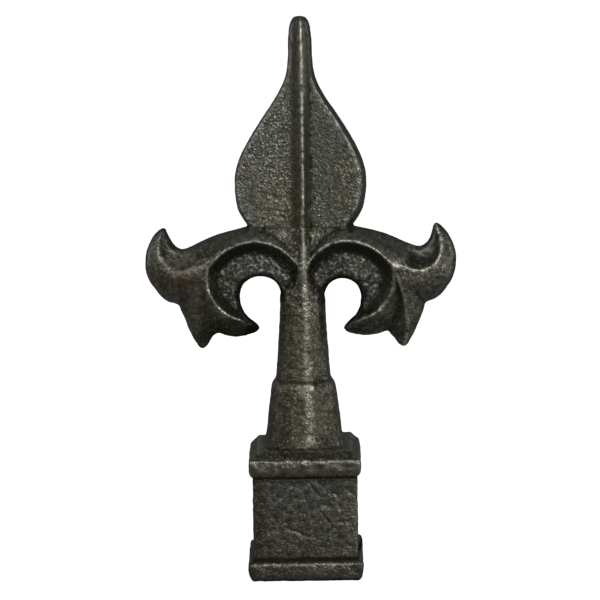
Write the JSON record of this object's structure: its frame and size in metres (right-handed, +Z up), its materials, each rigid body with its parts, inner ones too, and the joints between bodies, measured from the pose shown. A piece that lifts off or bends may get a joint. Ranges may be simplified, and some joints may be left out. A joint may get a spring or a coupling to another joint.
{
  "type": "railing finial",
  "caption": "Cast iron fleur-de-lis spear finial with a ribbed blade, scrolled side leaves, a tapered round stem and a banded square socket for a post.",
  "frame": {"origin": "middle of the socket's open end, level with the rim the finial stands on", "axes": "+Z up the stem to the tip of the blade, +X across the leaves, +Y from the front face to the back"},
  "size_m": [0.0962, 0.0354, 0.1725],
  "materials": {
    "cast_iron": "bare dark grey-brown cast iron, sandy grain, crests and edges rubbed a little brighter"
  },
  "bodies": {
    "root": {"finial": "cast_iron"}
  },
  "joints": []
}
